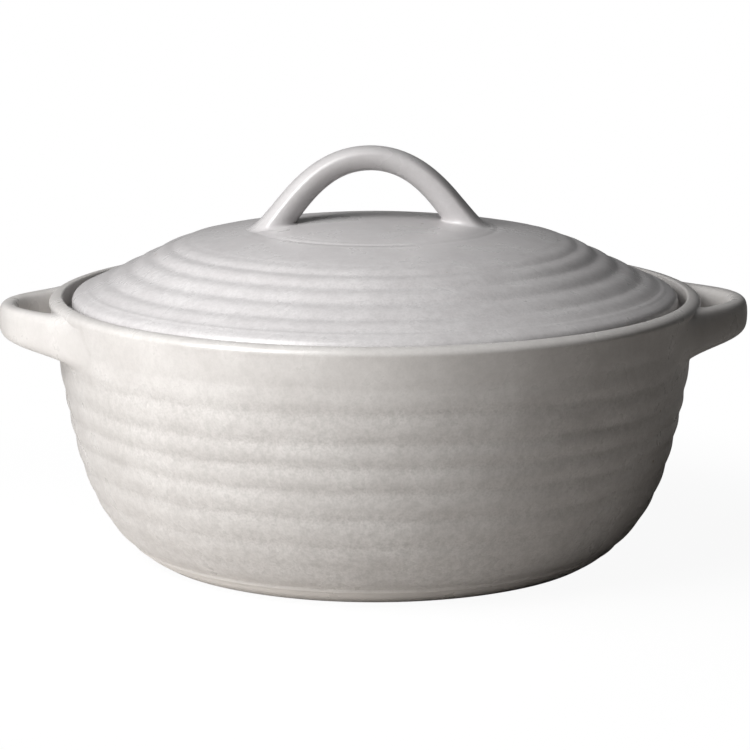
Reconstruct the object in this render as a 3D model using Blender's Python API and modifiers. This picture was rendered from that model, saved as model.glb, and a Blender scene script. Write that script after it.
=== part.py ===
"""Round stoneware casserole dish: ringed bowl, two lug handles and a domed lid with an arch handle.

Metres, Z up. The dish stands on Z = 0 with its axis on Z, and the handles lie along X.
"""
from math import cos, pi, radians, sin, sqrt

import bmesh
import bpy
from mathutils import Vector

# Bowl
RIM_RADIUS = 0.130            # outside of the rim
RIM_HEIGHT = 0.105            # crest of the rim above the table
RIM_WALL = 0.0055             # collar that stands round the lid
RIM_OUTER_ROUND = 0.0028      # drop of the soft outer edge of the rim
RIM_INNER_ROUND = 0.0012      # tighter inner edge of the rim
WALL = 0.0075                 # side wall
BASE = 0.008                  # floor
FOOT_RADIUS = 0.092           # outer edge of the ring it stands on
FOOT_WIDTH = 0.0095           # flat of that ring
FOOT_RECESS = 0.0035          # hollow under the floor
FOOT_FLARE = 0.030            # how far the wall runs out before it turns up
FOOT_FLARE_ANGLE = radians(34)
WALL_LEAN = radians(8.6)      # lean of the upper wall
WALL_RISE = 0.066             # length over which the upper wall keeps that lean
FLOOR_CORNER = 0.022          # soft corner between the floor and the wall

# Ledge inside the rim that carries the lid
LEDGE_DEPTH = 0.008           # below the crest of the rim
LEDGE_WIDTH = 0.009           # inwards from the collar
LEDGE_ROUND = 0.0015
LEDGE_TAPER = 0.017           # height over which the ledge runs back into the wall

# Throwing rings
RING_FIRST = 0.0172           # lowest groove of the wall above the table
RING_PITCH = 0.0104
RING_DEPTH = 0.0006
FOOT_GROOVE_HEIGHT = 0.007    # turned line that marks the foot
FOOT_GROOVE_DEPTH = 0.0005
LID_RING_FIRST = 0.007        # outermost groove of the lid, in from its edge
LID_RING_PITCH = 0.0084
LID_RING_MARGIN = 0.023       # smooth top of the lid outside its raised middle
LID_RING_DEPTH = 0.0009
BAND_SHARES = (0, 0.25, 0.75)  # profile points from one groove to the next
BAND_SWELL = 2.2              # more is flatter between the grooves

# Lid
LID_CLEARANCE = 0.0035        # between the lid's edge and the collar
LID_EDGE = 0.0093             # thickness of the edge
LID_EDGE_ROUND = 0.0022
LID_RISE = 0.0216             # raised middle above the edge
LID_THICKNESS = 0.007
LID_SEAT = 0.0105             # flat under the edge
LID_SHOULDER = 0.0358         # length over which the dome leaves the middle level
LID_SKIRT = 0.0454            # length over which the dome keeps its slope at the edge
LID_SKIRT_ANGLE = radians(24.3)
PLATEAU_RADIUS = 0.050        # raised middle that carries the arch
PLATEAU_STEP = 0.0008

# Arch handle of the lid
ARCH_HEIGHT = 0.0351          # top of the arch above the raised middle
ARCH_INSET = 0.010            # middles of its feet, in from the edge of the raised middle
ARCH_THICKNESS = 0.0098       # at the crown
ARCH_DEPTH = 0.0135           # front to back at the crown
ARCH_SWELL = 1.35             # feet against crown
ARCH_CROWN = 0.020            # length over which the crown stays level
ARCH_LEG = 0.016              # length over which the legs keep their lean at the lid
ARCH_LEAN = radians(36)       # of the legs at the lid, from upright
ARCH_ROOT = 0.010             # length of arch that runs on into the lid before it is trimmed
ARCH_ROUNDNESS = 2.2          # section: 2 is an ellipse, and more is squarer

# Lug handles of the bowl
LUG_REACH = 0.020             # tip outside the rim
LUG_DROP = 0.0029             # top of the lug below the crest of the rim
LUG_HEIGHT = 0.0165           # of the strap at its roots
LUG_THICKNESS = 0.0096        # of the strap at its roots
LUG_TIP_SCALE = 0.79          # strap at the tip against its roots
LUG_SPAN = 0.079              # between the places where the strap meets the wall
LUG_NOSE = 0.018              # length over which the tip stays square to X
LUG_FLARE = 0.020             # length over which the strap keeps its angle at the wall
LUG_FLARE_ANGLE = radians(52)
LUG_ROOT = 0.028              # length of strap that runs on into the wall before it is trimmed
LUG_ROUNDNESS = 3             # section: 2 is an ellipse, and more is squarer

# Fits and fineness
JOINT_GAP = 0.0003            # between pieces that touch
TURN_STEPS = 48
WALL_POINTS = 60              # of the smooth curves that the rings and the cutters follow
EDGE_POINTS = 3               # round a small edge
CURVE_POINTS = 14             # along half of a handle
UNDERSIDE_POINTS = 7          # across the underside of the lid
FLOOR_POINTS = 9              # across the inside of the bowl
SECTION_POINTS = 16           # round a handle

CLAY = (0.57, 0.545, 0.52, 1.0)

LEDGE_HEIGHT = RIM_HEIGHT - LEDGE_DEPTH
COLLAR_RADIUS = RIM_RADIUS - RIM_WALL
LEDGE_RADIUS = COLLAR_RADIUS - LEDGE_WIDTH
FLOOR_HEIGHT = FOOT_RECESS + BASE
LID_RADIUS = COLLAR_RADIUS - LID_CLEARANCE
PLATEAU_HEIGHT = LID_EDGE + LID_RISE
ARCH_SPAN = 2 * (PLATEAU_RADIUS - ARCH_INSET)


def bezier(start, start_handle, end_handle, end, count):
    """Points of a cubic curve, both ends included."""
    points = []
    for i in range(count + 1):
        t = i / count
        u = 1 - t
        points.append(start * u**3 + start_handle * 3 * u * u * t + end_handle * 3 * u * t * t + end * t**3)
    return points


def quarter(centre, radius_r, radius_z, first, last, count):
    """Points of an elliptic arc between two angles."""
    points = []
    for i in range(count + 1):
        angle = first + (last - first) * i / count
        points.append(centre + Vector((radius_r * cos(angle), radius_z * sin(angle))))
    return points


def value_on(points, place):
    """Second coordinate of a curve where its rising first coordinate has a value."""
    if place <= points[0].x:
        return points[0].y
    for a, b in zip(points, points[1:]):
        if place <= b.x:
            return a.y + (b.y - a.y) * (place - a.x) / (b.x - a.x)
    return points[-1].y


def swapped(points):
    return [Vector((p.y, p.x)) for p in points]


def wall_curve():
    """Smooth outside of the bowl as (radius, height), from the foot up to the rim's rounding."""
    foot = Vector((FOOT_RADIUS, 0))
    rim = Vector((RIM_RADIUS, RIM_HEIGHT - RIM_OUTER_ROUND))
    flare = Vector((cos(FOOT_FLARE_ANGLE), sin(FOOT_FLARE_ANGLE))) * FOOT_FLARE
    rise = Vector((sin(WALL_LEAN), cos(WALL_LEAN))) * WALL_RISE
    return bezier(foot, foot + flare, rim - rise, rim, WALL_POINTS)


def dome_curve():
    """Smooth top of the lid outside its raised middle, as (radius, height above the ledge)."""
    middle = Vector((PLATEAU_RADIUS, PLATEAU_HEIGHT - PLATEAU_STEP))
    edge = Vector((LID_RADIUS - LID_EDGE_ROUND, LID_EDGE))
    skirt = Vector((cos(LID_SKIRT_ANGLE), -sin(LID_SKIRT_ANGLE))) * LID_SKIRT
    return bezier(middle, middle + Vector((LID_SHOULDER, 0)), edge - skirt, edge, WALL_POINTS)


def ringed(curve, first, last, pitch, depth):
    """Points of a curve from one place to another, in bands that swell between sharp grooves."""
    step = pitch if last > first else -pitch
    count = int(abs(last - first) / pitch)
    points = []
    for i in range(count * len(BAND_SHARES) + 1):
        share = BAND_SHARES[i % len(BAND_SHARES)]
        place = first + step * (i // len(BAND_SHARES) + share)
        points.append(Vector((place, value_on(curve, place) - depth * abs(2 * share - 1) ** BAND_SWELL)))
    return points


def plain(curve, first, last):
    """Two points that carry a curve over a stretch without rings."""
    places = [first + (last - first) * share for share in (1 / 3, 2 / 3)]
    return [Vector((place, value_on(curve, place))) for place in places]


def ringed_wall():
    """Outside of the bowl with its throwing rings, from the rim's rounding down to the foot."""
    radius_at = swapped(wall_curve())
    top = RIM_HEIGHT - RIM_OUTER_ROUND
    groove = value_on(radius_at, FOOT_GROOVE_HEIGHT) - FOOT_GROOVE_DEPTH
    points = [Vector((0, FOOT_RADIUS))]
    points += plain(radius_at, 0, FOOT_GROOVE_HEIGHT)
    points.append(Vector((FOOT_GROOVE_HEIGHT, groove)))
    points += plain(radius_at, FOOT_GROOVE_HEIGHT, RING_FIRST)
    points += ringed(radius_at, RING_FIRST, top - RING_PITCH / 2, RING_PITCH, RING_DEPTH)
    points += plain(radius_at, points[-1].x, top)
    points.append(Vector((top, RIM_RADIUS)))
    return swapped(points[::-1])


def inner_wall():
    """Inside of the bowl from the edge of the flat floor up to the ledge's underside."""
    top = LEDGE_HEIGHT - LEDGE_TAPER
    wall_top = Vector((value_on(swapped(wall_curve()), top) - WALL, top))
    floor_edge = Vector((FOOT_RADIUS - WALL, FLOOR_HEIGHT))
    rise = Vector((sin(WALL_LEAN), cos(WALL_LEAN))) * (top - FLOOR_HEIGHT - FLOOR_CORNER)
    return bezier(floor_edge, floor_edge + Vector((FLOOR_CORNER, 0)), wall_top - rise, wall_top, FLOOR_POINTS)


def bowl_profile():
    ledge_edge = Vector((LEDGE_RADIUS + LEDGE_ROUND, LEDGE_HEIGHT - LEDGE_ROUND))
    collar_edge = Vector((COLLAR_RADIUS + RIM_INNER_ROUND, RIM_HEIGHT - RIM_INNER_ROUND))
    crest = Vector((COLLAR_RADIUS + RIM_INNER_ROUND, RIM_HEIGHT - RIM_OUTER_ROUND))
    soft = RIM_WALL - RIM_INNER_ROUND
    points = [Vector((0, FLOOR_HEIGHT))]
    points += inner_wall()
    points += quarter(ledge_edge, LEDGE_ROUND, LEDGE_ROUND, pi, pi / 2, EDGE_POINTS)
    points.append(Vector((COLLAR_RADIUS, LEDGE_HEIGHT)))
    points += quarter(collar_edge, RIM_INNER_ROUND, RIM_INNER_ROUND, pi, pi / 2, EDGE_POINTS)
    points += quarter(crest, soft, RIM_OUTER_ROUND, pi / 2, 0, EDGE_POINTS + 1)[1:-1]
    points += ringed_wall()
    points.append(Vector((FOOT_RADIUS - FOOT_WIDTH, 0)))
    points.append(Vector((FOOT_RADIUS - FOOT_WIDTH - FOOT_RECESS, FOOT_RECESS)))
    points.append(Vector((0, FOOT_RECESS)))
    return points


def ringed_dome():
    """Top of the lid from its raised middle out to the edge's rounding, with its rings."""
    dome = dome_curve()
    outer = LID_RADIUS - LID_RING_FIRST
    points = plain(dome, LID_RADIUS - LID_EDGE_ROUND, outer)
    points += ringed(dome, outer, PLATEAU_RADIUS + LID_RING_MARGIN, LID_RING_PITCH, LID_RING_DEPTH)
    points += plain(dome, points[-1].x, PLATEAU_RADIUS)
    points.append(dome[0])
    return points[::-1]


def lid_profile():
    edge = Vector((LID_RADIUS - LID_EDGE_ROUND, LID_EDGE - LID_EDGE_ROUND))
    foot = Vector((LID_RADIUS - LID_EDGE_ROUND, LID_EDGE_ROUND))
    seat_edge = LID_RADIUS - LID_SEAT
    dome = dome_curve()
    points = [Vector((0, PLATEAU_HEIGHT)), Vector((PLATEAU_RADIUS - 2 * PLATEAU_STEP, PLATEAU_HEIGHT))]
    points += ringed_dome()
    points += quarter(edge, LID_EDGE_ROUND, LID_EDGE_ROUND, pi / 2, 0, EDGE_POINTS)
    points += quarter(foot, LID_EDGE_ROUND, LID_EDGE_ROUND, 0, -pi / 2, EDGE_POINTS)
    points.append(Vector((seat_edge, 0)))
    under = seat_edge - LID_THICKNESS / 2
    for i in range(UNDERSIDE_POINTS):
        radius = under + (PLATEAU_RADIUS - under) * i / (UNDERSIDE_POINTS - 1)
        points.append(Vector((radius, value_on(dome, radius) - LID_THICKNESS)))
    points.append(Vector((0, value_on(dome, PLATEAU_RADIUS) - LID_THICKNESS)))
    return points


def wall_cutter_profile():
    """Everything inside the bowl's outside, with the joint's gap, past the top of the lugs."""
    wall = [p + Vector((JOINT_GAP, 0)) for p in wall_curve()[::-1]]
    above = wall[0] + Vector((0, RIM_OUTER_ROUND))
    return [Vector((0, above.y)), above] + wall + [Vector((0, 0))]


def lid_cutter_profile():
    """Everything under the lid's top, with the joint's gap."""
    top = PLATEAU_HEIGHT + JOINT_GAP
    dome = [p + Vector((0, JOINT_GAP)) for p in dome_curve()[1:]]
    below = [Vector((dome[-1].x, 0)), Vector((0, 0))]
    return [Vector((0, top)), Vector((PLATEAU_RADIUS, top))] + dome + below


def clay_material(name):
    material = bpy.data.materials.new(name)
    material.use_nodes = True
    shader = material.node_tree.nodes["Principled BSDF"]
    shader.inputs["Base Color"].default_value = CLAY
    shader.inputs["Roughness"].default_value = 0.35
    shader.inputs["Metallic"].default_value = 0.0
    return material


def add_object(name, data, collection):
    obj = bpy.data.objects.new(name, data)
    collection.objects.link(obj)
    return obj


def turned(name, profile, collection):
    """Solid of revolution from a profile of (radius, height) that runs down its outer side."""
    mesh = bpy.data.meshes.new(name)
    edges = [(i, i + 1) for i in range(len(profile) - 1)]
    mesh.from_pydata([(p.x, 0, p.y) for p in profile], edges, [])
    obj = add_object(name, mesh, collection)
    screw = obj.modifiers.new("Turn", "SCREW")
    screw.steps = TURN_STEPS
    screw.render_steps = TURN_STEPS
    screw.use_merge_vertices = True
    screw.merge_threshold = 0.00001
    screw.use_smooth_shade = True
    return obj


def section(name, across, up, roundness, collection):
    """Closed handle section; a roundness of 2 is an ellipse, and more is squarer."""
    curve = bpy.data.curves.new(name, "CURVE")
    curve.dimensions = "2D"
    spline = curve.splines.new("POLY")
    spline.points.add(SECTION_POINTS - 1)
    spline.use_cyclic_u = True
    for i, point in enumerate(spline.points):
        angle = 2 * pi * i / SECTION_POINTS
        x = abs(cos(angle)) ** (2 / roundness) * (1 if cos(angle) >= 0 else -1)
        y = abs(sin(angle)) ** (2 / roundness) * (1 if sin(angle) >= 0 else -1)
        point.co = (across / 2 * x, up / 2 * y, 0, 1)
    return as_guide(add_object(name, curve, collection))


def strap(name, path, scales, guide, twist, collection):
    """Mesh of a section swept along a path and scaled along it."""
    curve = bpy.data.curves.new(name, "CURVE")
    curve.dimensions = "3D"
    curve.twist_mode = twist
    curve.bevel_mode = "OBJECT"
    curve.bevel_object = guide
    curve.use_fill_caps = True
    spline = curve.splines.new("POLY")
    spline.points.add(len(path) - 1)
    for point, place, scale in zip(spline.points, path, scales):
        point.co = (*place, 1)
        point.radius = scale
    swept = add_object(name + "_path", curve, collection)
    bpy.context.view_layer.update()
    mesh = bpy.data.meshes.new_from_object(swept.evaluated_get(bpy.context.evaluated_depsgraph_get()))
    bpy.data.objects.remove(swept)
    mesh.name = name
    shell = bmesh.new()
    shell.from_mesh(mesh)
    bmesh.ops.remove_doubles(shell, verts=shell.verts, dist=0.000001)
    bmesh.ops.recalc_face_normals(shell, faces=shell.faces)
    shell.to_mesh(mesh)
    shell.free()
    mesh.shade_smooth()
    mesh.set_sharp_from_angle(angle=radians(40))
    return mesh


def as_guide(obj):
    obj.hide_render = True
    obj.display_type = "WIRE"
    return obj


def trimmed(obj, cutter):
    cut = obj.modifiers.new("Trim", "BOOLEAN")
    cut.operation = "DIFFERENCE"
    cut.object = cutter
    return obj


def lug_path(wall):
    """Centre line and scales of the right handle's strap, from its front root round to the back."""
    tip = Vector((RIM_RADIUS + LUG_REACH - LUG_THICKNESS * LUG_TIP_SCALE / 2, 0))
    root = Vector((sqrt(wall * wall - LUG_SPAN * LUG_SPAN / 4), LUG_SPAN / 2))
    away = Vector((-cos(LUG_FLARE_ANGLE), sin(LUG_FLARE_ANGLE)))
    half = bezier(tip, tip + Vector((0, LUG_NOSE)), root - away * LUG_FLARE, root, CURVE_POINTS)
    scales = [LUG_TIP_SCALE + (1 - LUG_TIP_SCALE) * i / CURVE_POINTS for i in range(CURVE_POINTS + 1)]
    half.append(root + away * LUG_ROOT)
    scales.append(1)
    back = list(zip(half, scales))
    front = [(Vector((p.x, -p.y)), s) for p, s in back[:0:-1]]
    top = RIM_HEIGHT - LUG_DROP
    path = [Vector((p.x, p.y, top - LUG_HEIGHT / 2 * s)) for p, s in front + back]
    return path, [s for p, s in front + back]


def arch_path():
    """Centre line and scales of the lid's arch, from its left foot over to the right."""
    crown = Vector((0, PLATEAU_HEIGHT + ARCH_HEIGHT - ARCH_THICKNESS / 2))
    foot = Vector((ARCH_SPAN / 2, PLATEAU_HEIGHT))
    down = Vector((sin(ARCH_LEAN), -cos(ARCH_LEAN)))
    half = bezier(crown, crown + Vector((ARCH_CROWN, 0)), foot - down * ARCH_LEG, foot, CURVE_POINTS)
    scales = [1 + (ARCH_SWELL - 1) * (i / CURVE_POINTS) ** 3 for i in range(CURVE_POINTS + 1)]
    half.append(foot + down * ARCH_ROOT)
    scales.append(ARCH_SWELL)
    right = list(zip(half, scales))
    left = [(Vector((-p.x, p.y)), s) for p, s in right[:0:-1]]
    path = [Vector((p.x, 0, p.y)) for p, s in left + right]
    return path, [s for p, s in left + right]


def build():
    for obj in list(bpy.data.objects):
        bpy.data.objects.remove(obj)
    scene = bpy.context.scene.collection
    dish = bpy.data.collections.new("casserole_dish")
    cutters = bpy.data.collections.new("casserole_cutters")
    scene.children.link(dish)
    scene.children.link(cutters)

    bowl = turned("dish_bowl", bowl_profile(), dish)
    bowl.data.materials.append(clay_material("bowl_glaze"))

    wall_cutter = as_guide(turned("wall_cutter", wall_cutter_profile(), cutters))
    lug_section = section("lug_section", LUG_THICKNESS, LUG_HEIGHT, LUG_ROUNDNESS, cutters)
    lug_middle = RIM_HEIGHT - LUG_DROP - LUG_HEIGHT / 2
    path, scales = lug_path(value_on(swapped(wall_curve()), lug_middle))
    lug_mesh = strap("lug", path, scales, lug_section, "Z_UP", cutters)
    for name, turn in (("right_handle", 0), ("left_handle", pi)):
        handle = trimmed(add_object(name, lug_mesh.copy(), dish), wall_cutter)
        handle.rotation_euler = (0, 0, turn)
        handle.data.materials.append(clay_material(name + "_glaze"))

    seat = add_object("lid_seat", None, dish)
    seat.location = (0, 0, LEDGE_HEIGHT + JOINT_GAP)
    lid = turned("lid", lid_profile(), dish)
    lid.parent = seat
    lid.data.materials.append(clay_material("lid_glaze"))

    lid_cutter = as_guide(turned("lid_cutter", lid_cutter_profile(), cutters))
    lid_cutter.parent = seat
    arch_section = section("arch_section", ARCH_DEPTH, ARCH_THICKNESS, ARCH_ROUNDNESS, cutters)
    path, scales = arch_path()
    arch_mesh = strap("arch", path, scales, arch_section, "Z_UP", cutters)
    arch = trimmed(add_object("lid_handle", arch_mesh, dish), lid_cutter)
    arch.parent = seat
    arch.data.materials.append(clay_material("lid_handle_glaze"))


build()
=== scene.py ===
from bisect import bisect_left
from math import cos, hypot, pi, radians, sin, sqrt, tan

import bpy
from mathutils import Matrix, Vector


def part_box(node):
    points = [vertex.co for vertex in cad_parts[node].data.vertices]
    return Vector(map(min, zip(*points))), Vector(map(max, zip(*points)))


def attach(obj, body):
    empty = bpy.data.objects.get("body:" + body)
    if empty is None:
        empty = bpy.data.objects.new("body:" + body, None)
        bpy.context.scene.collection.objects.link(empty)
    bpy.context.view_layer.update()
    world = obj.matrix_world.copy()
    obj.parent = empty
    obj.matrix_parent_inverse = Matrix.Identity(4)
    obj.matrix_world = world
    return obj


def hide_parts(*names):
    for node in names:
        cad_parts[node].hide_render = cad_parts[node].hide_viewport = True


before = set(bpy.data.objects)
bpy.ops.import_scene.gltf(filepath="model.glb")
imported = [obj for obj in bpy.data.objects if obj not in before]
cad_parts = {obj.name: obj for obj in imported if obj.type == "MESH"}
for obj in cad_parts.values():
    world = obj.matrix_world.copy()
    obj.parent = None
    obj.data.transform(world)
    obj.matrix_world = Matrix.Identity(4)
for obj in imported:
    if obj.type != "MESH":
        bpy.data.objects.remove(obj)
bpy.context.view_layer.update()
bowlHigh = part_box("dish_bowl")[1]
lidLow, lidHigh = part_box("lid")
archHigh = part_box("lid_handle")[1]
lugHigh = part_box("right_handle")[1]
print("frame loaded:", len(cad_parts), "nodes")


# picking pieces up and putting them down

def putDown():
    if bpy.context.object and bpy.context.object.mode == "EDIT":
        bpy.ops.object.mode_set(mode="OBJECT")
    bpy.ops.object.select_all(action="DESELECT")


def pickUp(piece):
    putDown()
    piece.select_set(True)
    bpy.context.view_layer.objects.active = piece


def applyModifier(piece, kind, **settings):
    pickUp(piece)
    modifier = piece.modifiers.new(kind.lower(), kind)
    for key, value in settings.items():
        setattr(modifier, key, value)
    bpy.ops.object.modifier_apply(modifier=modifier.name)


def ease(value, low, high):                  # 0 below low, 1 above high, smooth between
    share = min(max((value - low) / (high - low), 0), 1)
    return share * share * (3 - 2 * share)


# outlines, as points of (radius, height)

skinSteps = 300                              # points of a smooth skin
longStep = 0.006                             # between points on flat ground
bandShares = (0, 0.03, 0.07, 0.12, 0.19, 0.28, 0.39, 0.5, 0.61, 0.72, 0.81, 0.88, 0.93, 0.97)


def pull(start, startPull, endPull, end, count):
    points = []
    for i in range(count + 1):
        t = i / count
        u = 1 - t
        points.append(start * u**3 + startPull * 3 * u * u * t + endPull * 3 * u * t * t + end * t**3)
    return points


def softCorners(corners, gap, arcSteps=5):   # corners are (radius, height, rounding); gap is the longest step
    points = []
    for i, (r, z, rounding) in enumerate(corners):
        here = Vector((r, z))
        bend = [here]
        if rounding:
            back = (Vector(corners[i - 1][:2]) - here).normalized()
            ahead = (Vector(corners[i + 1][:2]) - here).normalized()
            half = back.angle(ahead) / 2
            reach = rounding * cos(half) / sin(half)
            hub = here + (back + ahead).normalized() * rounding / sin(half)
            first, last = here + back * reach - hub, here + ahead * reach - hub
            bend = [hub + first.slerp(last, k / arcSteps) * rounding for k in range(arcSteps + 1)]
        if points:
            run = bend[0] - points[-1]
            stops = int(run.length / gap)
            start = points[-1]
            points += [start + run * (k + 1) / (stops + 1) for k in range(stops)]
        points += bend
    return points


def heightOn(curve, place):                  # second coordinate where the rising first one has a value
    last = bisect_left(curve, place, lo=1, hi=len(curve) - 1, key=lambda p: p.x)
    a, b = curve[last - 1], curve[last]
    return a.y + (b.y - a.y) * min(max((place - a.x) / (b.x - a.x), 0), 1)


def flip(points):
    return [Vector((p.y, p.x)) for p in points]


def grooveDip(place, low, high, valley):     # 1 in a groove, 0 on the swell half way to the next
    half = (high - low) / 2
    near = half - abs(place - low - half)
    return (1 - (hypot(near, valley) - valley) / (hypot(half, valley) - valley)) ** 2


def dipAt(place, grooves, valley):           # depth below the smooth skin
    for (low, lowDepth), (high, highDepth) in zip(grooves, grooves[1:]):
        if low <= place <= high:
            depth = lowDepth + (highDepth - lowDepth) * (place - low) / (high - low)
            return depth * grooveDip(place, low, high, valley)
    return 0


def ringedRun(curve, grooves, valley):
    # points of a curve between its first and last groove, each band swelling between soft valleys
    points = []
    step = (grooves[-1][0] - grooves[0][0]) / 400    # short enough to give the slope
    for (low, _), (high, _) in zip(grooves, grooves[1:]):
        for share in bandShares:
            place = low + (high - low) * share
            here = Vector((place, heightOn(curve, place)))
            slope = Vector((2 * step, heightOn(curve, place + step) - heightOn(curve, place - step)))
            inward = Vector((slope.y, -slope.x)).normalized()
            points.append(here + inward * dipAt(place, grooves, valley))
    return points


def throwOnWheel(name, outline, steps):
    putDown()
    bpy.ops.mesh.primitive_plane_add(size=0.001)
    pot = bpy.context.object
    pot.name = name
    bpy.ops.object.mode_set(mode="EDIT")
    bpy.ops.mesh.merge(type="CENTER")        # one point, which draws the outline
    bpy.ops.transform.translate(value=(outline[0].x, 0, outline[0].y))
    for here, there in zip(outline, outline[1:]):
        stroke = there - here
        bpy.ops.mesh.extrude_region_move(TRANSFORM_OT_translate={"value": (stroke.x, 0, stroke.y)})
    bpy.ops.mesh.select_all(action="SELECT")
    bpy.ops.mesh.spin(steps=steps, angle=2 * pi, center=(0, 0, 0), axis=(0, 0, 1))
    bpy.ops.mesh.select_all(action="SELECT")
    bpy.ops.mesh.remove_doubles(threshold=0.000002)
    bpy.ops.mesh.normals_make_consistent(inside=False)
    bpy.ops.object.mode_set(mode="OBJECT")
    return pot


def weigh(piece, name, rule):                # vertex group from a rule on the radius and the height
    group = piece.vertex_groups.new(name=name)
    for v in piece.data.vertices:
        group.add([v.index], rule(hypot(v.co.x, v.co.y), v.co.z), "REPLACE")


def note(piece, name, rule):                 # point attribute that the glaze reads
    attribute = piece.data.attributes.new(name, "FLOAT", "POINT")
    for v in piece.data.vertices:
        attribute.data[v.index].value = rule(hypot(v.co.x, v.co.y), v.co.z)


def handWobble(piece, group, direction, size, strength, detail):
    texture = bpy.data.textures.new(piece.name + direction, "CLOUDS")
    texture.noise_scale = size
    texture.noise_depth = detail
    applyModifier(piece, "DISPLACE", texture=texture, texture_coords="LOCAL", direction=direction,
                  strength=strength, mid_level=0.5, vertex_group=group)
    bpy.data.textures.remove(texture)


# bowl

bowlSizes = {
    "footRadius": 0.0896, "footWidth": 0.0085, "footRecess": 0.0035, "footRound": 0.0006, "recessRound": 0.0015,
    "flare": 0.0335, "flareAngle": radians(27), "lean": radians(9), "rise": 0.0493,
    "wall": 0.0075, "base": 0.008, "floorCorner": 0.022,
    "collar": 0.0055, "outerDrop": 0.0028, "innerRound": 0.0009, "rimSteps": 9, "fineStep": 0.0015,
    "ledgeDepth": 0.008, "ledgeWidth": 0.009, "ledgeRound": 0.0015, "ledgeTaper": 0.017,
    "ledgeCorner": 0.0012, "insideSteps": 36,
    "grooves": ((0.0005, 0), (0.0049, 0.0002), (0.0072, 0.0006), (0.0172, 0.0002), (0.0271, 0.0004),
                (0.0382, 0.0005), (0.0490, 0.0005), (0.0585, 0.0005), (0.0678, 0.0005), (0.0794, 0.0004),
                (0.0897, 0.0002), (0.1020, 0)),
    "valley": 0.0016, "deepest": 0.0005, "steps": 288,
}
bowlLook = {                                 # bands are heights between which a look fades in
    "skinDepth": 0.002,                      # what lies deeper belongs to the inside
    "wobbleUp": (0.045, 0.0022, 1), "wobbleOut": (0.03, 0.0007, 2),    # size, strength, detail
    "wobbleFoot": (0.006, 0.02), "wobbleRim": (0.082, 0.095),
    "stoneFoot": 1.4, "stoneInside": 0.6, "wallLess": 0.4, "wallBand": (0.01, 0.05),
    "rimLess": 0.5, "rimBand": (0.078, 0.092),
    # painted light: heights over which the pale foot band fades out
    "thinBand": (0.0036, 0.0105), "bareBand": (0.0001, 0.0006), "bareMargin": 0.001,
}


def bowlSkin():                              # smooth outside, from the foot to the rim's rounding
    s = bowlSizes
    foot = Vector((s["footRadius"], 0))
    rim = Vector((bowlHigh.x, bowlHigh.z - s["outerDrop"]))
    flare = Vector((cos(s["flareAngle"]), sin(s["flareAngle"]))) * s["flare"]
    rise = Vector((sin(s["lean"]), cos(s["lean"]))) * s["rise"]
    return pull(foot, foot + flare, rim - rise, rim, skinSteps)


def bowlOutline():
    s = bowlSizes
    skin = flip(bowlSkin())
    rimR, rimZ = bowlHigh.x, bowlHigh.z
    collarR = rimR - s["collar"]
    ledgeZ = rimZ - s["ledgeDepth"]
    ledgeR = collarR - s["ledgeWidth"]
    floorZ = s["footRecess"] + s["base"]
    footIn = s["footRadius"] - s["footWidth"]
    points = softCorners([(0, s["footRecess"], 0),
                          (footIn - s["footRecess"], s["footRecess"], s["recessRound"]),
                          (footIn, 0, s["footRound"]), (s["footRadius"] - s["footRound"], 0, 0)], longStep)
    points += flip(ringedRun(skin, s["grooves"], s["valley"]))
    crest = Vector((collarR + s["innerRound"], rimZ - s["outerDrop"]))
    for i in range(s["rimSteps"]):           # soft outer edge of the rim
        angle = pi / 2 * i / s["rimSteps"]
        points.append(crest + Vector(((rimR - crest.x) * cos(angle), s["outerDrop"] * sin(angle))))
    taperZ = ledgeZ - s["ledgeTaper"]
    wallTop = Vector((heightOn(skin, taperZ) - s["wall"], taperZ))
    points += softCorners([(crest.x, rimZ, 0), (collarR, rimZ, s["innerRound"] * 0.98),
                           (collarR, ledgeZ, s["ledgeCorner"]), (ledgeR, ledgeZ, s["ledgeRound"]),
                           (wallTop.x, wallTop.y, 0)], s["fineStep"])
    corner = Vector((s["footRadius"] - s["wall"], floorZ))
    rise = Vector((sin(s["lean"]), cos(s["lean"]))) * (taperZ - floorZ - s["floorCorner"])
    inside = pull(corner, corner + Vector((s["floorCorner"], 0)), wallTop - rise, wallTop, s["insideSteps"])
    points += inside[-2::-1]
    points += softCorners([(corner.x, corner.y, 0), (0, floorZ, 0)], longStep)[1:]
    return points


def outsideBowl(r, z):
    return r > heightOn(bowlSkinFlat, z) - bowlLook["skinDepth"]


def onWall(r, z):                            # 1 on the ringed outside, fading at foot and rim
    fade = ease(z, *bowlLook["wobbleFoot"]) * (1 - ease(z, *bowlLook["wobbleRim"]))
    return fade if outsideBowl(r, z) else 0


def wallValley(r, z):                        # 1 in a groove of the wall
    if not outsideBowl(r, z):
        return 0
    return dipAt(z, bowlSizes["grooves"], bowlSizes["valley"]) / bowlSizes["deepest"]


def wallStone(r, z):                         # how strongly the speckle shows
    look = bowlLook
    less = look["wallLess"] * ease(z, *look["wallBand"]) + look["rimLess"] * ease(z, *look["rimBand"])
    return look["stoneFoot"] - less if outsideBowl(r, z) else look["stoneInside"]


def paintedFootLight(r, z):                         # painted light: pale band round the foot, tinted lighter in place of light bounced up from the floor
    return 1 - ease(z, *bowlLook["thinBand"]) if outsideBowl(r, z) else 0


def bareFoot(r, z):                          # unglazed ring that it stands on
    ringIn = bowlSizes["footRadius"] - bowlSizes["footWidth"] - bowlLook["bareMargin"]
    return 1 - ease(z, *bowlLook["bareBand"]) if r > ringIn else 0


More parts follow.
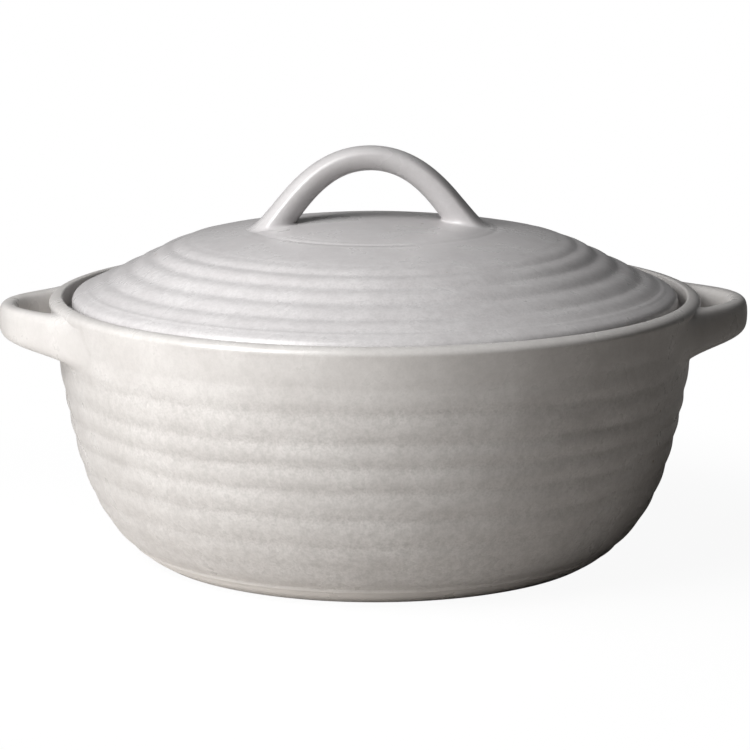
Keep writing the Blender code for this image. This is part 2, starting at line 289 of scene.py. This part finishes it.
bowlSkinFlat = flip(bowlSkin())
bowl = throwOnWheel("bowl_body", bowlOutline(), bowlSizes["steps"])
note(bowl, "valley", wallValley)
note(bowl, "stone", wallStone)
# painted light: the pale foot band, standing in for light bounced up from the floor
note(bowl, "thin", paintedFootLight)
note(bowl, "bare", bareFoot)
weigh(bowl, "thrown", onWall)
handWobble(bowl, "thrown", "Z", *bowlLook["wobbleUp"])
handWobble(bowl, "thrown", "NORMAL", *bowlLook["wobbleOut"])
print("bowl thrown:", len(bowl.data.polygons), "faces")


# lid

lidSizes = {
    "edge": 0.0093, "edgeIn": 0.0036, "edgeRound": 0.0040, "footRound": 0.0022, "seatRound": 0.001,
    "thickness": 0.007, "seat": 0.0105, "fineStep": 0.0016,
    "capRadius": 0.044, "capLift": 0.0030, "capSlope": radians(8), "capSteps": 24,
    "shoulder": 0.0474, "skirt": 0.0462, "skirtAngle": radians(24.4),
    "grooves": ((0.0440, 0), (0.0488, 0.0002), (0.0550, 0), (0.0725, 0), (0.0810, 0.0005), (0.0890, 0.0006),
                (0.0975, 0.0006), (0.1065, 0.0005), (0.1140, 0.0002), (0.1172, 0)),
    "valley": 0.0022, "deepest": 0.0006, "steps": 256,
}
lidLook = {                                  # bands are radii between which a look fades in
    "skinDepth": 0.003, "wobble": (0.03, 0.0005, 2), "wobbleCap": (0.055, 0.07), "wobbleEdge": (0.108, 0.116),
    "stoneCap": 0.28, "domeMore": 0.5, "domeBand": (0.055, 0.08),
}
archOffset = -0.002                          # the arch was set by hand, a little off the middle
lidRadius = lidHigh.x
lidSeatZ = lidLow.z


def lidSkin():                               # smooth top, from the cap in the middle to the edge's rounding
    s = lidSizes
    cap = Vector((s["capRadius"], lidHigh.z + s["capLift"]))
    edge = Vector((lidRadius - s["edgeIn"], lidSeatZ + s["edge"]))
    shoulder = Vector((cos(s["capSlope"]), -sin(s["capSlope"]))) * s["shoulder"]
    skirt = Vector((cos(s["skirtAngle"]), -sin(s["skirtAngle"]))) * s["skirt"]
    return pull(cap, cap + shoulder, edge - skirt, edge, skinSteps)


def lidOutline():
    s = lidSizes
    skin = lidSkin()
    points = []
    stops = s["capSteps"]
    capRise = s["capRadius"] * tan(s["capSlope"]) / 2
    for i in range(stops):                   # cap that carries the arch
        share = i / stops
        points.append(Vector((s["capRadius"] * share, skin[0].y + capRise * (1 - share * share))))
    points += ringedRun(skin, s["grooves"], s["valley"])
    lipZ = skin[-1].y - s["edgeIn"] * tan(s["skirtAngle"])
    under = lidRadius - s["seat"]
    points += softCorners([(skin[-1].x, skin[-1].y, 0), (lidRadius, lipZ, s["edgeRound"]),
                           (lidRadius, lidSeatZ, s["footRound"]), (under, lidSeatZ, s["seatRound"]),
                           (under - s["thickness"] / 2, heightOn(skin, under) - s["thickness"], 0)],
                          s["fineStep"])
    inner = points[-1].x
    for i in range(1, stops + 1):
        r = inner + (s["capRadius"] - inner) * i / stops
        points.append(Vector((r, heightOn(skin, r) - s["thickness"])))
    points += softCorners([(points[-1].x, points[-1].y, 0), (0, points[-1].y, 0)], longStep)[1:]
    return points


def onTop(r, z):
    return z > heightOn(lidSkinFlat, r) - lidLook["skinDepth"]


def onDome(r, z):                            # 1 on the ringed top, fading at cap and edge
    fade = ease(r, *lidLook["wobbleCap"]) * (1 - ease(r, *lidLook["wobbleEdge"]))
    return fade if onTop(r, z) else 0


def domeValley(r, z):                        # 1 in a groove of the lid
    if not onTop(r, z):
        return 0
    return dipAt(r, lidSizes["grooves"], lidSizes["valley"]) / lidSizes["deepest"]


def domeStone(r, z):                         # the speckle shows less on the cap
    return lidLook["stoneCap"] + lidLook["domeMore"] * ease(r, *lidLook["domeBand"])


lidSkinFlat = lidSkin()
lid = throwOnWheel("lid_dome", lidOutline(), lidSizes["steps"])
note(lid, "valley", domeValley)
note(lid, "stone", domeStone)
weigh(lid, "thrown", onDome)
handWobble(lid, "thrown", "NORMAL", *lidLook["wobble"])
print("lid thrown:", len(lid.data.polygons), "faces")


# straps, pulled along a curve and luted to the pot

sectionFineness = 12                         # points to each quarter of a strap's outline
ringSize = 4 * sectionFineness
hemTurns = 3                                 # rounds of evening out a fillet's hem
smoothAngle = radians(50)


def section(name, across, up, squareness, lift=0):
    # closed outline of a strap; squareness 0.55 is an ellipse, and lift moves its widest place up
    putDown()
    bpy.ops.curve.primitive_bezier_circle_add(radius=1)
    outline = bpy.context.object
    outline.name = name
    high, low, side = up / 2 - lift, up / 2 + lift, across / 2
    corners = (((-side, lift), (0, -low), (0, high)), ((0, up / 2), (-side, 0), (side, 0)),
               ((side, lift), (0, high), (0, -low)), ((0, -up / 2), (side, 0), (-side, 0)))
    for point, (co, before, after) in zip(outline.data.splines[0].bezier_points, corners):
        point.handle_left_type = point.handle_right_type = "FREE"
        point.co = (*co, 0)
        point.handle_left = point.co + Vector((*before, 0)) * squareness
        point.handle_right = point.co + Vector((*after, 0)) * squareness
    outline.data.resolution_u = sectionFineness
    return outline


def pullStrap(name, stations, outline, fineness):
    # stations are (place, handle before, handle after, scale)
    putDown()
    bpy.ops.curve.primitive_bezier_curve_add()
    strap = bpy.context.object
    strap.name = name
    curve = strap.data
    spline = curve.splines[0]
    spline.bezier_points.add(len(stations) - 2)
    for point, (place, before, after, scale) in zip(spline.bezier_points, stations):
        point.handle_left_type = point.handle_right_type = "FREE"
        point.co, point.handle_left, point.handle_right = place, before, after
        point.radius = scale
    spline.radius_interpolation = "EASE"
    curve.twist_mode = "Z_UP"
    curve.resolution_u = fineness
    curve.bevel_mode = "OBJECT"
    curve.bevel_object = outline
    pickUp(strap)
    bpy.ops.object.convert(target="MESH")
    bpy.data.objects.remove(outline)
    return bpy.context.object


def luteEnd(rings, host, fit):
    # rings run from the free strap into the host; the last ones become a fillet lying on its skin
    size = len(rings[0])
    meets, skins, ways = [], [], []
    for k in range(size):
        for near, far in zip(rings, rings[1:]):
            way = (far[k] - near[k]).normalized()
            hit, place, normal, _ = host.ray_cast(near[k], way, distance=(far[k] - near[k]).length)
            if hit:
                break
        meets.append(place)
        skins.append(normal)
        ways.append(way)
    middle = sum(meets, Vector()) / size
    outward = []
    for k in range(size):
        along = meets[(k + 1) % size] - meets[k - 1]
        side = along.cross(skins[k]).normalized()
        outward.append(side if side.dot(meets[k] - middle) > 0 else -side)
    hems = []
    for k in range(size):
        reach = fit["reach"] * (1 + fit["spread"] * ways[k].dot(outward[k]))
        hems.append(meets[k] + outward[k] * reach)
    for _ in range(hemTurns):
        hems = [(hems[k - 1] + hems[k] * 2 + hems[(k + 1) % size]) / 4 for k in range(size)]
    free = max(j for j in range(len(rings))
               if min((rings[j][k] - meets[k]).length for k in range(size)) > fit["grow"]
               and max((rings[i][k] - meets[k]).dot(ways[k]) for i in range(j + 1) for k in range(size)) < 0)
    count = len(rings) - 2 - free
    for k in range(size):
        _, hem, normal, _ = host.closest_point_on_mesh(hems[k])
        start = rings[free][k]
        heading = (start - rings[free - 1][k]).normalized()
        bow = pull(start, start + heading * (meets[k] - start).length * fit["ease"],
                   hem + (meets[k] - hem) * fit["ease"], hem - normal * fit["sink"], count)
        for j in range(1, count + 1):
            rings[free + j][k] = bow[j]
        rings[-1][k] = hem - normal * fit["root"]
    return rings


def luteStrap(strap, host, fit):
    count = len(strap.data.vertices) // ringSize
    rings = [[strap.data.vertices[j * ringSize + k].co.copy() for k in range(ringSize)] for j in range(count)]
    half = count // 2
    rings[half:] = luteEnd(rings[half:], host, fit)
    rings[:half + 1] = luteEnd(rings[half::-1], host, fit)[::-1]
    for j, ring in enumerate(rings):
        for k, place in enumerate(ring):
            strap.data.vertices[j * ringSize + k].co = place
    pickUp(strap)
    bpy.ops.object.mode_set(mode="EDIT")
    bpy.ops.mesh.select_all(action="DESELECT")
    bpy.ops.mesh.select_non_manifold()
    bpy.ops.mesh.edge_face_add()
    bpy.ops.mesh.select_all(action="SELECT")
    bpy.ops.mesh.normals_make_consistent(inside=False)
    bpy.ops.object.mode_set(mode="OBJECT")


# lugs at the sides of the bowl

lugSizes = {
    "height": 0.0165, "thickness": 0.0096, "tipScale": 0.79, "span": 0.079, "nose": 0.018,
    "flare": 0.020, "flareAngle": radians(52), "intoWall": 0.028, "squareness": 0.76,
    "fineness": 24, "stone": 0.35,
}
lugFit = {"reach": 0.006, "spread": 0.6, "grow": 0.004, "ease": 0.75, "sink": 0.00003, "root": 0.003}


def lugStations(side):
    s = lugSizes
    topZ = lugHigh.z
    midZ = topZ - s["height"] / 2
    tipZ = topZ - s["height"] * s["tipScale"] / 2
    wall = heightOn(bowlSkinFlat, midZ)
    tip = Vector((lugHigh.x - s["thickness"] * s["tipScale"] / 2, 0, tipZ))
    root = Vector((sqrt(wall**2 - (s["span"] / 2) ** 2), s["span"] / 2, midZ))
    away = Vector((-cos(s["flareAngle"]), sin(s["flareAngle"]), 0))
    nose = Vector((0, s["nose"], 0))
    half = [(tip, tip - nose, tip + nose, s["tipScale"]),
            (root, root - away * s["flare"], root + away * s["intoWall"] / 3, 1),
            (root + away * s["intoWall"], root + away * s["intoWall"] * 2 / 3, root + away * s["intoWall"], 1)]
    over = Vector((1, -1, 1))
    front = [(p * over, after * over, before * over, scale) for p, before, after, scale in half[:0:-1]]
    stations = front + half
    return [(p * side, before * side, after * side, scale) for p, before, after, scale in stations]


def makeLug(name, side):                     # side is (1, 1, 1) on the right and (-1, -1, 1) on the left
    s = lugSizes
    outline = section(name + "_section", s["thickness"], s["height"], s["squareness"])
    strap = pullStrap(name, lugStations(Vector(side)), outline, s["fineness"])
    luteStrap(strap, bowl, lugFit)
    return strap


rightLug = makeLug("right_lug", (1, 1, 1))
leftLug = makeLug("left_lug", (-1, -1, 1))
print("lugs luted:", len(rightLug.data.polygons), "faces each")


# arch of the lid

archSizes = {
    "thickness": 0.0098, "depth": 0.0150, "swell": 1.2, "span": 0.080, "crown": 0.020,
    "leg": 0.016, "lean": radians(36), "intoLid": 0.011, "squareness": 0.55, "lift": 0.0020,
    "fineness": 28, "stone": 0.3,
}
archFit = {"reach": 0.0035, "spread": 0.5, "grow": 0.003, "ease": 0.8, "sink": 0.00003, "root": 0.002}


def archStations():
    s = archSizes
    crown = Vector((0, 0, archHigh.z - s["thickness"] / 2))
    foot = Vector((s["span"] / 2, 0, lidHigh.z))
    level = Vector((s["crown"], 0, 0))
    down = Vector((sin(s["lean"]), 0, -cos(s["lean"])))
    root = down * s["intoLid"]
    half = [(crown, crown - level, crown + level, 1),
            (foot, foot - down * s["leg"], foot + root / 3, s["swell"]),
            (foot + root, foot + root * 2 / 3, foot + root, s["swell"])]
    over = Vector((-1, 1, 1))
    left = [(p * over, after * over, before * over, scale) for p, before, after, scale in half[:0:-1]]
    aside = Vector((archOffset, 0, 0))
    return [(p + aside, before + aside, after + aside, scale) for p, before, after, scale in left + half]


def makeArch():
    s = archSizes
    outline = section("arch_section", s["depth"], s["thickness"], s["squareness"], s["lift"])
    strap = pullStrap("lid_arch", archStations(), outline, s["fineness"])
    luteStrap(strap, lid, archFit)
    return strap


arch = makeArch()
print("arch luted:", len(arch.data.polygons), "faces")

for strap, sizes in ((leftLug, lugSizes), (rightLug, lugSizes), (arch, archSizes)):
    note(strap, "stone", lambda r, z: sizes["stone"])
for piece in (bowl, lid, leftLug, rightLug, arch):
    pickUp(piece)
    bpy.ops.object.shade_smooth_by_angle(angle=smoothAngle)


# nodes that the glaze and the studio share

def ramp(tree, value, low, high, start=0, end=1, smooth=False):
    step = tree.nodes.new("ShaderNodeMapRange")
    if smooth:
        step.interpolation_type = "SMOOTHSTEP"
    for socket, number in zip(("From Min", "From Max", "To Min", "To Max"), (low, high, start, end)):
        step.inputs[socket].default_value = number
    tree.links.new(value, step.inputs["Value"])
    return step.outputs["Result"]


def reckon(tree, operation, first, second):
    step = tree.nodes.new("ShaderNodeMath")
    step.operation = operation
    for socket, value in zip(step.inputs, (first, second)):
        if isinstance(value, (int, float)):
            socket.default_value = value
        else:
            tree.links.new(value, socket)
    return step.outputs["Value"]


def tint(tree, share, first, second):
    mix = tree.nodes.new("ShaderNodeMix")
    mix.data_type = "RGBA"
    tree.links.new(share, mix.inputs["Factor"])
    colourSockets = [socket for socket in mix.inputs if socket.type == "RGBA"]
    for socket, value in zip(colourSockets, (first, second)):
        if isinstance(value, tuple):
            socket.default_value = (*value, 1)
        else:
            tree.links.new(value, socket)
    return [socket for socket in mix.outputs if socket.type == "RGBA"][0]


# glaze

glazeTones = {
    "body_stone_glaze": {"base": (0.463, 0.446, 0.432), "pale": (0.510, 0.494, 0.480),
                         "speck": (0.255, 0.242, 0.231)},
    "lid_stone_glaze": {"base": (0.467, 0.451, 0.452), "pale": (0.512, 0.498, 0.498),
                        "speck": (0.263, 0.253, 0.253)},
}
glazeLook = {                                # textures are scale, detail, and the range that is used
    "clouds": (55, 4, 0.35, 0.65), "grain": (1150, 3, 0.42, 0.66), "blots": (380, 3, 0.40, 0.66),
    "speckle": 0.20, "blotting": 0.24, "pooling": 0.14,
    "pins": 30, "pinSize": (0.014, 0.022), "pinDepth": 0.8,
    # painted light: the pale tint of the foot band, in place of bounced light
    "thin": (0.64, 0.615, 0.59), "clay": (0.21, 0.145, 0.10),
    "roughest": 0.32, "smoothest": 0.26, "bareRougher": 0.45,
    "skinScale": 420, "skinDetail": 3, "skinStrength": 0.2, "skinHeight": 0.0001,
}


def mixGlaze(name):
    tones, look = glazeTones[name], glazeLook
    glaze = bpy.data.materials.new(name)
    glaze.use_nodes = True
    tree = glaze.node_tree
    nodes, links = tree.nodes, tree.links
    shader = nodes["Principled BSDF"]
    place = nodes.new("ShaderNodeTexCoord")

    def noise(scale, detail):
        texture = nodes.new("ShaderNodeTexNoise")
        texture.inputs["Scale"].default_value = scale
        texture.inputs["Detail"].default_value = detail
        links.new(place.outputs["Object"], texture.inputs["Vector"])
        return texture.outputs["Fac"]

    def mottle(kind):
        scale, detail, low, high = look[kind]
        return ramp(tree, noise(scale, detail), low, high)

    def painted(attribute):
        reader = nodes.new("ShaderNodeAttribute")
        reader.attribute_name = attribute
        return reader.outputs["Fac"]

    clouds = mottle("clouds")
    stone = painted("stone")
    speckle = reckon(tree, "MULTIPLY", stone, look["speckle"])
    pooling = reckon(tree, "MULTIPLY", painted("valley"), look["pooling"])
    freckles = reckon(tree, "MULTIPLY", mottle("grain"), reckon(tree, "ADD", speckle, pooling))
    blotting = reckon(tree, "MULTIPLY", stone, look["blotting"])
    blots = reckon(tree, "MULTIPLY", mottle("blots"), blotting)
    pins = nodes.new("ShaderNodeTexVoronoi")
    pins.inputs["Scale"].default_value = look["pins"]
    links.new(place.outputs["Object"], pins.inputs["Vector"])
    pinholes = ramp(tree, pins.outputs["Distance"], *look["pinSize"], look["pinDepth"], 0)
    bare = painted("bare")
    colour = tint(tree, clouds, tones["base"], tones["pale"])
    # painted light: the band round the foot is tinted paler in place of light bounced up from the floor
    for share, tone in ((freckles, tones["speck"]), (blots, tones["speck"]), (pinholes, look["clay"]),
                        (painted("thin"), look["thin"]), (bare, look["clay"])):
        colour = tint(tree, share, colour, tone)
    links.new(colour, shader.inputs["Base Color"])
    rough = ramp(tree, clouds, 0, 1, look["roughest"], look["smoothest"])
    dull = reckon(tree, "MULTIPLY", bare, look["bareRougher"])
    links.new(reckon(tree, "ADD", rough, dull), shader.inputs["Roughness"])
    bump = nodes.new("ShaderNodeBump")
    bump.inputs["Strength"].default_value = look["skinStrength"]
    bump.inputs["Distance"].default_value = look["skinHeight"]
    links.new(noise(look["skinScale"], look["skinDetail"]), bump.inputs["Height"])
    links.new(bump.outputs["Normal"], shader.inputs["Normal"])
    return glaze


bodyGlaze = mixGlaze("body_stone_glaze")
lidGlaze = mixGlaze("lid_stone_glaze")
for piece, glaze in ((bowl, bodyGlaze), (leftLug, bodyGlaze), (rightLug, bodyGlaze),
                     (lid, lidGlaze), (arch, lidGlaze)):
    piece.data.materials.append(glaze)
print("glaze mixed")


# what rides on what

for piece, body, node, slot in ((bowl, "dish", "dish_bowl", "body_glaze"),
                                (leftLug, "dish", "left_handle", "body_glaze"),
                                (rightLug, "dish", "right_handle", "body_glaze"),
                                (lid, "lid", "lid", "lid_glaze"),
                                (arch, "lid", "lid_handle", "lid_glaze")):
    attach(piece, body)
    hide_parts(node)


# studio

studio = {
    "floorSize": 6.0, "floorLit": (0.76, 0.735, 0.71), "floorDim": (0.50, 0.475, 0.45),
    "dimFrom": -0.12, "dimTo": 0.2,          # painted shade: the floor bounces light darker on the right, so the dish's right side falls darker; the eye still sees it white
    "floorGlow": 0.94, "shadowNear": 0.14, "shadowFar": 0.30, "sheetFrom": 0.35,
    "lamps": {
        "key_softbox": {"side": radians(49), "rise": radians(32), "away": 0.80, "size": 0.42, "power": 6.2},
        "top_softbox": {"side": radians(56), "rise": radians(55), "away": 0.75, "size": 0.4, "power": 3.3},
    },
    "lampAim": (0, 0, 0.06),
    "ambient": 0.01, "front": 0.04, "back": 0.15, "backFrom": -0.1, "backTo": 0.4,
    "cameraAway": 1.2, "cameraHeight": 0.3016, "cameraPitch": radians(10.901), "cameraTurn": radians(3.2),
    "lens": 145.57, "sensor": 36,
}


def seenRays(tree, mirrored):                # 1 for what the eye sees straight, less for what the glaze mirrors
    rays = tree.nodes.new("ShaderNodeLightPath")
    glossy = reckon(tree, "MULTIPLY", rays.outputs["Is Glossy Ray"], mirrored)
    return reckon(tree, "MAXIMUM", rays.outputs["Is Camera Ray"], glossy)


def layFloor():
    s = studio
    putDown()
    bpy.ops.mesh.primitive_plane_add(size=s["floorSize"])
    floor = bpy.context.object
    floor.name = "studio_floor"
    paint = bpy.data.materials.new("floor_white")
    paint.use_nodes = True
    tree = paint.node_tree
    nodes, links = tree.nodes, tree.links
    nodes.clear()
    out = nodes.new("ShaderNodeOutputMaterial")
    spot = nodes.new("ShaderNodeNewGeometry")
    along = nodes.new("ShaderNodeSeparateXYZ")
    links.new(spot.outputs["Position"], along.inputs["Vector"])
    real = nodes.new("ShaderNodeBsdfDiffuse")
    # painted shade: the floor's colour for bounced light darkens towards the right, to shade the dish's right
    # side
    dim = ramp(tree, along.outputs["X"], s["dimFrom"], s["dimTo"], smooth=True)
    links.new(tint(tree, dim, s["floorLit"], s["floorDim"]), real.inputs["Color"])
    sheet = nodes.new("ShaderNodeBsdfDiffuse")
    sheet.inputs["Color"].default_value = (1, 1, 1, 1)
    glow = nodes.new("ShaderNodeEmission")
    away = nodes.new("ShaderNodeVectorMath")
    away.operation = "LENGTH"
    links.new(spot.outputs["Position"], away.inputs[0])
    fade = ramp(tree, away.outputs["Value"], s["shadowNear"], s["shadowFar"], s["floorGlow"], 1, smooth=True)
    pale = nodes.new("ShaderNodeMixShader")  # the shadow stays near the dish
    links.new(fade, pale.inputs["Fac"])
    links.new(sheet.outputs["BSDF"], pale.inputs[1])
    links.new(glow.outputs["Emission"], pale.inputs[2])
    behind = ramp(tree, along.outputs["Y"], s["sheetFrom"], 2 * s["sheetFrom"], 0, s["back"])
    pick = nodes.new("ShaderNodeMixShader")  # the glaze mirrors the white sheet where it rises behind
    links.new(seenRays(tree, behind), pick.inputs["Fac"])
    links.new(real.outputs["BSDF"], pick.inputs[1])
    links.new(pale.outputs["Shader"], pick.inputs[2])
    links.new(pick.outputs["Shader"], out.inputs["Surface"])
    floor.data.materials.append(paint)


def lightSky():                              # white sheet behind, a dim room in front
    s = studio
    world = bpy.data.worlds.new("white_room")
    bpy.context.scene.world = world
    world.use_nodes = True
    tree = world.node_tree
    sky = tree.nodes["Background"]
    sky.inputs["Color"].default_value = (1, 1, 1, 1)
    way = tree.nodes.new("ShaderNodeTexCoord")
    parts = tree.nodes.new("ShaderNodeSeparateXYZ")
    tree.links.new(way.outputs["Generated"], parts.inputs["Vector"])
    mirrored = ramp(tree, parts.outputs["Y"], s["backFrom"], s["backTo"], s["front"], s["back"])
    level = ramp(tree, seenRays(tree, mirrored), 0, 1, s["ambient"], 1)
    tree.links.new(level, sky.inputs["Strength"])


def aim(thing, target):
    thing.rotation_euler = (Vector(target) - thing.location).to_track_quat("-Z", "Y").to_euler()


def hangLamp(name, lamp):
    putDown()
    flat = cos(lamp["rise"]) * lamp["away"]
    bpy.ops.object.light_add(type="AREA", location=(-sin(lamp["side"]) * flat, -cos(lamp["side"]) * flat,
                                                    sin(lamp["rise"]) * lamp["away"]))
    softbox = bpy.context.object
    softbox.name = name
    softbox.data.shape = "SQUARE"
    softbox.data.size = lamp["size"]
    softbox.data.energy = lamp["power"]
    aim(softbox, studio["lampAim"])


def setCamera():
    s = studio
    putDown()
    turn = s["cameraTurn"]
    spot = (-s["cameraAway"] * sin(turn), -s["cameraAway"] * cos(turn), s["cameraHeight"])
    bpy.ops.object.camera_add(location=spot, rotation=(pi / 2 - s["cameraPitch"], 0, -turn))
    camera = bpy.context.object
    camera.data.sensor_width = s["sensor"]
    camera.data.lens = s["lens"]
    bpy.context.scene.camera = camera


layFloor()
lightSky()
for name, lamp in studio["lamps"].items():
    hangLamp(name, lamp)
setCamera()
bpy.context.scene.view_settings.view_transform = "Standard"
print("studio set")
